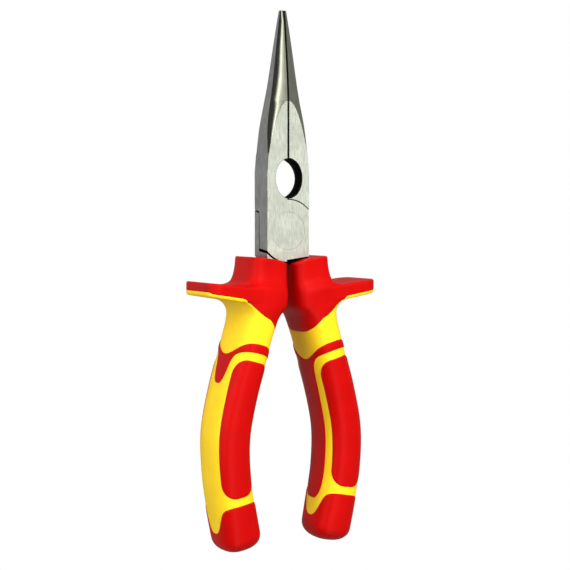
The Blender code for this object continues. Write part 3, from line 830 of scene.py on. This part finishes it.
def steel_half(name, jaw_side, plate, slot, body, node):
    """A forged half: its jaw, its plate of the lap joint and its arm on the other side.

    plate and slot each give their outer face's y and their lap face's y."""
    made = jaw(name, jaw_side)
    # the arm that runs into the handle on the other side
    outline = [(0.2, 0.0), (HEAD_HALF_WIDTH, 0.0), (HEAD_HALF_WIDTH, -9.3), (8.6, -12.5), (0.8, -12.5),
               (0.2, -9.0)]
    boolean(made, prism("arm", [(-jaw_side * x, rise) for x, rise in outline],
                        -HEAD_HALF_DEPTH, HEAD_HALF_DEPTH), "UNION")
    # the coned slot that the other half's plate turns in, a little wider towards its foot
    face, lap = slot
    rings = []
    for y, radius in ((face, JOINT_RADIUS + JOINT_CONE / 6.4), (lap, JOINT_RADIUS - JOINT_CONE)):
        rings.append([])
        for x, rise in arc_points(1.0, 0, 357.5, 143):
            reach = radius + SLOT_PLAY + 0.35 * max(0.0, -rise) ** 0.5
            rings[-1].append((x * reach, y, rise * reach))
    boolean(made, loft("slot", rings), "DIFFERENCE")
    # its own round plate, with flats at the head's two sides
    rings = []
    for y, radius in zip(plate, (JOINT_RADIUS - PLATE_PLAY, JOINT_RADIUS - PLATE_PLAY - JOINT_CONE)):
        flat = math.degrees(math.acos(HEAD_HALF_WIDTH / radius))
        disc = arc_points(radius, flat, 180 - flat, 50) + arc_points(radius, 180 + flat, 360 - flat, 50)
        rings.append([(x, y, rise) for x, rise in disc])
    boolean(made, loft("plate", rings), "UNION")
    # the step in the arm's outer face, just under the joint
    outline = [(10.0, -9.4), (-0.6, -10.75), (-0.6, -14.0), (10.0, -14.0)]
    boolean(made, prism("step", [(-jaw_side * x, rise) for x, rise in outline],
                        plate[0] * 1.2, plate[0] * 0.86), "DIFFERENCE")
    boolean(made, hole_cutter(), "DIFFERENCE")
    boolean(made, turned("bore", rivet_profile(RIVET_PLAY, HEAD_HALF_DEPTH + 1.0)), "DIFFERENCE")
    bm = bmesh.new()
    bm.from_mesh(made.data)
    bmesh.ops.remove_doubles(bm, verts=bm.verts, dist=3e-6)
    bmesh.ops.dissolve_limit(bm, angle_limit=math.radians(0.05), verts=bm.verts, edges=bm.edges)
    bm.to_mesh(made.data)
    bm.free()
    finish_steel(made)
    dress_steel(made, jaw_side, body, node)


def finish_steel(made, width=0.09):
    """Breaks the sharp edges by a hair, but not the teeth's, so that they catch the light."""
    made.data.attributes.new("bevel_weight_edge", "FLOAT", "EDGE")
    bm = bmesh.new()
    bm.from_mesh(made.data)
    layer = bm.edges.layers.float.get("bevel_weight_edge")
    for edge in bm.edges:
        if len(edge.link_faces) != 2:
            continue
        sharp = edge.calc_face_angle(0.0) > math.radians(SHARP)
        middle = (edge.verts[0].co + edge.verts[1].co) / 2
        toothed = abs(middle.x) < 0.75 * MM and middle.y > PIVOT[1] + 20 * MM
        edge[layer] = 1.0 if sharp and not toothed else 0.0
    bm.to_mesh(made.data)
    bm.free()
    bevel = made.modifiers.new("edges", "BEVEL")
    bevel.limit_method = "WEIGHT"
    bevel.width = width * MM
    bevel.segments = 2
    apply_modifiers(made)


def finish_of(place, normal, jaw_side):
    """The number of a face's material in dress_steel's list, from its place and its normal."""
    polished, ground, plain_side, in_painted_shade, toothed = range(5)
    x, y, rise = place
    oval = math.hypot(x / HOLE_HALF_WIDTH, (rise - HOLE_RISE) / HOLE_HALF_HEIGHT)
    outer = abs(abs(y) - HEAD_HALF_DEPTH) < 0.004
    if abs(normal.z) > 0.9994 and outer:
        return ground
    # painted shade: the next three tests give near-black to the hole's walls, the joint's inner faces and the
    # faces of the step and arm under the joint, where shade falls
    if oval < 1.6 and -HEAD_HALF_DEPTH + 0.2 < y < HEAD_HALF_DEPTH - 0.05 and abs(x) < HEAD_HALF_WIDTH - 0.2:
        return in_painted_shade
    if math.hypot(x, rise) < JOINT_RADIUS + 0.3 and not outer and abs(x) < HEAD_HALF_WIDTH - 0.05:
        return in_painted_shade
    if rise < -9.3 and abs(x) < HEAD_HALF_WIDTH - 0.1 and not outer:
        return in_painted_shade
    if abs(normal.x) > 0.98 and abs(normal.z) < 0.05 and abs(x) > 1.0:
        return plain_side
    if abs(x) < 0.8 and rise > 12 and jaw_side * normal.x < -0.3 and abs(y) < HEAD_HALF_DEPTH - 0.15:
        return toothed
    return polished


def dress_steel(made, jaw_side, body, node):
    """Ground faces front and back, ground sides, polished nose, and painted shade in near-black on the walls
    of the hole, the joint's slot and the step under it.
    """
    dress(made, body, [POLISHED, GROUND, SIDE, PAINTED_SHADE, TEETH], [node], SHARP)
    for face in made.data.polygons:
        c = face.center
        place = (c.x / MM, (PIVOT[2] - c.z) / MM, (c.y - PIVOT[1]) / MM)
        face.material_index = finish_of(place, face.normal, jaw_side)
    part_looks(made)


def part_looks(made):
    """Keeps the shading crisp where two finishes meet, and true on the flats."""
    bm = bmesh.new()
    bm.from_mesh(made.data)
    for edge in bm.edges:
        kinds = {face.material_index for face in edge.link_faces}
        if len(kinds) > 1 or edge.calc_face_angle(0.0) > math.radians(SHARP):
            edge.smooth = False
    bm.to_mesh(made.data)
    bm.free()
    true = made.modifiers.new("flats", "WEIGHTED_NORMAL")
    true.keep_sharp = True
    true.weight = 80


def rivet():
    """The rivet, its heads a hair under both faces."""
    made = turned("rivet", rivet_profile(0.0, HEAD_HALF_DEPTH - 0.01))
    finish_steel(made, 0.05)
    dress(made, FIXED, [GROUND], ["pivot_rivet"], SHARP)
    part_looks(made)


# ---- materials

class Look:
    """A node material under construction."""

    def __init__(self, name):
        self.material = bpy.data.materials.new(name)
        self.material.use_nodes = True
        self.tree = self.material.node_tree
        self.shader = self.tree.nodes["Principled BSDF"]
        self.place = self.node("ShaderNodeTexCoord").outputs["Object"]

    def node(self, kind, **values):
        made = self.tree.nodes.new(kind)
        for key, value in values.items():
            setattr(made, key, value)
        return made

    def link(self, source, target):
        self.tree.links.new(source, target)

    def noise(self, scale, detail, stretch, rough, seed):
        """Noise with its size in features per metre, drawn out along the axes by stretch."""
        mapping = self.node("ShaderNodeMapping")
        mapping.inputs["Scale"].default_value = stretch
        mapping.inputs["Location"].default_value = (seed, seed * 1.7, seed * 0.3)
        self.link(self.place, mapping.inputs["Vector"])
        made = self.node("ShaderNodeTexNoise")
        made.inputs["Scale"].default_value = scale
        made.inputs["Detail"].default_value = detail
        made.inputs["Roughness"].default_value = rough
        self.link(mapping.outputs["Vector"], made.inputs["Vector"])
        return made.outputs["Fac"]

    def spread(self, value, low, high, to_low, to_high):
        """A value from low..high taken to to_low..to_high."""
        made = self.node("ShaderNodeMapRange")
        for key, number in (("From Min", low), ("From Max", high), ("To Min", to_low), ("To Max", to_high)):
            made.inputs[key].default_value = number
        self.link(value, made.inputs["Value"])
        return made.outputs["Result"]

    def mix(self, share, first, second):
        made = self.node("ShaderNodeMix", data_type="RGBA")
        self.link(share, made.inputs[0])
        for socket, colour in ((made.inputs[6], first), (made.inputs[7], second)):
            if isinstance(colour, tuple):
                socket.default_value = (*colour, 1.0)
            else:
                self.link(colour, socket)
        return made.outputs[2]

    def bump(self, height, distance, strength=1.0):
        """A normal raised by height, which spans distance millimetres."""
        made = self.node("ShaderNodeBump")
        made.inputs["Distance"].default_value = distance * MM
        made.inputs["Strength"].default_value = strength
        self.link(height, made.inputs["Height"])
        return made.outputs["Normal"]


def steel(name, colour, dark, roughness, metallic, grain, along, seed, specular=0.5):
    """Steel with drawn-out grinding marks, a cloudy tone and a slightly uneven polish.

    grain is the marks' depth in millimetres, along stretches them along the tool."""
    look = Look(name)
    marks = look.noise(2600, 3.0, along, 0.6, seed)
    cloud = look.noise(190, 4.0, (1, 1, 1), 0.55, seed + 3)
    tone = look.mix(look.spread(cloud, 0.35, 0.68, 0, 1), dark, colour)
    streaked = look.mix(look.spread(marks, 0.38, 0.68, 0, 0.85), tone, tuple(c * 0.78 for c in dark))
    look.link(streaked, look.shader.inputs["Base Color"])
    look.link(look.spread(marks, 0.3, 0.7, roughness * 0.88, roughness * 1.14),
              look.shader.inputs["Roughness"])
    look.shader.inputs["Metallic"].default_value = metallic
    look.shader.inputs["Specular IOR Level"].default_value = specular
    look.link(look.bump(marks, grain), look.shader.inputs["Normal"])
    return look.material


def plastic(name, colour, deep, roughness, specular, seed):
    """Moulded satin plastic: fine spark-eroded grain, faint clouds and a little scuffing."""
    look = Look(name)
    cloud = look.noise(120, 3.0, (1, 1, 1), 0.5, seed)
    scuff = look.noise(900, 6.0, (1, 0.35, 1), 0.7, seed + 5)
    grain = look.noise(5200, 2.0, (1, 1, 1), 0.5, seed + 9)
    tone = look.mix(look.spread(cloud, 0.35, 0.7, 0, 1), deep, colour)
    look.link(tone, look.shader.inputs["Base Color"])
    look.link(look.spread(scuff, 0.35, 0.75, roughness * 0.9, roughness * 1.2),
              look.shader.inputs["Roughness"])
    look.link(look.bump(grain, 0.012, 0.6), look.shader.inputs["Normal"])
    look.shader.inputs["Specular IOR Level"].default_value = specular
    return look.material


RED = plastic("red_plastic", (0.52, 0.0015, 0.001), (0.46, 0.0015, 0.001), 0.40, 0.11, 1.0)
YELLOW = plastic("yellow_plastic", (0.96, 0.66, 0.016), (0.92, 0.60, 0.012), 0.50, 0.18, 2.0)
GROUND = steel("ground_steel", (0.74, 0.78, 0.67), (0.59, 0.62, 0.53), 0.58, 0.5, 0.012, (1, 0.12, 1), 1.0)
SIDE = steel("side_steel", (0.64, 0.65, 0.64), (0.48, 0.49, 0.48), 0.36, 1.0, 0.010, (1, 0.10, 1), 2.0)
POLISHED = steel("polished_steel", (0.63, 0.64, 0.53), (0.55, 0.56, 0.45), 0.2, 1.0, 0.003, (1, 0.05, 1), 3.0)
TEETH = steel("teeth_steel", (0.13, 0.13, 0.12), (0.08, 0.08, 0.075), 0.45, 0.9, 0.006, (1, 1, 1), 5.0)
# Painted shade: near-black, matt, almost unreflecting steel for the hole's walls, the joint's inner faces and
# the step under the joint
PAINTED_SHADE = steel("painted_shade_steel", (0.003, 0.003, 0.003), (0.001, 0.001, 0.001), 0.8, 0.0, 0.01, (1, 1, 1), 4.0,
                0.03)


# ---- the tool

GUARD_MESH = net_mesh(guard_field, (-0.5, -13.5, 8.0), (36.0, 14.0, 52.0), 0.5)
for side, word, body in ((-1, "left", FIXED), (1, "right", MOVING)):
    guard_and_neck(side, word, body, GUARD_MESH)
    sleeve(side, word, body)
    grip_pieces(side, word, body)
for name, jaw_side, face, body in (("front", -1, -HEAD_HALF_DEPTH, MOVING),
                                   ("back", 1, HEAD_HALF_DEPTH, FIXED)):
    lap = LAP_PLANE + jaw_side * LAP_GAP / 2
    steel_half(f"{name}_half", jaw_side, (face, lap), (-face - jaw_side, lap), body, f"jaw_half_{name}")
rivet()


# ---- floor, light and camera

def floor():
    """A plain pale floor that rises into walls at its far edges. Only the camera sees it."""
    mesh = bpy.data.meshes.new("floor")
    reach, drop = 4.0, 0.0005
    corners = [(-reach, -reach), (reach, -reach), (reach, reach), (-reach, reach)]
    mesh.from_pydata([(x, y, z) for z in (-drop, reach) for x, y in corners], [],
                     [(0, 1, 2, 3)] + [(i, (i + 1) % 4, (i + 1) % 4 + 4, i + 4) for i in range(4)])
    made = bpy.data.objects.new("floor", mesh)
    bpy.context.scene.collection.objects.link(made)
    look = bpy.data.materials.new("pale_floor")
    look.use_nodes = True
    shader = look.node_tree.nodes["Principled BSDF"]
    shader.inputs["Base Color"].default_value = (0.0, 0.0, 0.0, 1)
    shader.inputs["Specular IOR Level"].default_value = 0.0
    shader.inputs["Emission Color"].default_value = (1, 1, 1, 1)
    shader.inputs["Emission Strength"].default_value = 1.0
    made.data.materials.append(look)
    made.visible_glossy = False
    made.visible_diffuse = False


def looking_at(target, azimuth, height, distance):
    """The place of a light or camera aimed at target, from so many degrees left of front and up."""
    a, h = math.radians(azimuth), math.radians(height)
    away = Vector((-math.sin(a) * math.cos(h), math.sin(h), math.cos(a) * math.cos(h)))
    right = Vector((math.cos(a), 0, math.sin(a)))
    place = Matrix((right, away.cross(right), away)).transposed().to_4x4()
    place.translation = target + away * distance
    return place


def softbox(name, azimuth, height, distance, size, power):
    light = bpy.data.lights.new(name, "AREA")
    light.shape = "SQUARE"
    light.size = size
    light.energy = power
    made = bpy.data.objects.new(name, light)
    made.matrix_world = looking_at(Vector((0.0, 0.0, PIVOT[2])), azimuth, height, distance)
    made.visible_glossy = False
    bpy.context.scene.collection.objects.link(made)


# The studio's brightness by direction: degrees to the left of straight in front, strength
STUDIO = [(-180, 0.36), (-120, 0.26), (-60, 0.26), (-29, 0.34), (-10, 0.48), (4, 0.9), (17, 2.4), (26, 1.3),
          (35, 0.22), (44, 0.06), (100, 0.06), (125, 0.36), (150, 0.45), (180, 0.36)]


def surroundings():
    """A soft room: a tall bright band just left of straight in front, dark further to the left."""
    peak = 2.5
    room = bpy.data.worlds.new("studio")
    bpy.context.scene.world = room
    room.use_nodes = True
    tree = room.node_tree
    background = tree.nodes["Background"]
    apart = tree.nodes.new("ShaderNodeSeparateXYZ")
    tree.links.new(tree.nodes.new("ShaderNodeTexCoord").outputs["Generated"], apart.inputs["Vector"])
    turn = tree.nodes.new("ShaderNodeMath")
    turn.operation = "ARCTAN2"
    tree.links.new(apart.outputs["X"], turn.inputs[0])
    tree.links.new(apart.outputs["Z"], turn.inputs[1])
    share = tree.nodes.new("ShaderNodeMapRange")
    for key, number in (("From Min", math.pi), ("From Max", -math.pi), ("To Min", 0.0), ("To Max", 1.0)):
        share.inputs[key].default_value = number
    tree.links.new(turn.outputs["Value"], share.inputs["Value"])
    ramp = tree.nodes.new("ShaderNodeValToRGB")
    ramp.color_ramp.interpolation = "EASE"
    stops = ramp.color_ramp.elements
    while len(stops) < len(STUDIO):
        stops.new(0.5)
    # in two passes, since the stops are sorted again when one is moved
    for stop, (degrees, _) in zip(stops, STUDIO):
        stop.position = (degrees + 180) / 360
    for stop, (_, strength) in zip(stops, STUDIO):
        level = strength / peak
        stop.color = (level, level, level * 0.97, 1)
    tree.links.new(share.outputs["Result"], ramp.inputs["Fac"])
    tree.links.new(ramp.outputs["Color"], background.inputs["Color"])
    background.inputs["Strength"].default_value = peak


def camera():
    """A view from in front, 29 degrees to the left and 3 up."""
    made = bpy.data.objects.new("camera", bpy.data.cameras.new("camera"))
    made.data.lens = 93.67
    made.data.sensor_width = 36.0
    made.data.clip_start = 0.01
    target = Vector((1.337 * MM, PIVOT[1] - 20.33 * MM, PIVOT[2]))
    made.matrix_world = looking_at(target, 29.018, 2.861, 0.5547)
    bpy.context.scene.collection.objects.link(made)
    bpy.context.scene.camera = made


floor()
surroundings()
softbox("key", -5, 35, 1.1, 0.8, 16.5)
softbox("left", 90, 15, 1.0, 1.2, 13.4)
camera()
bpy.context.scene.view_settings.view_transform = "Standard"
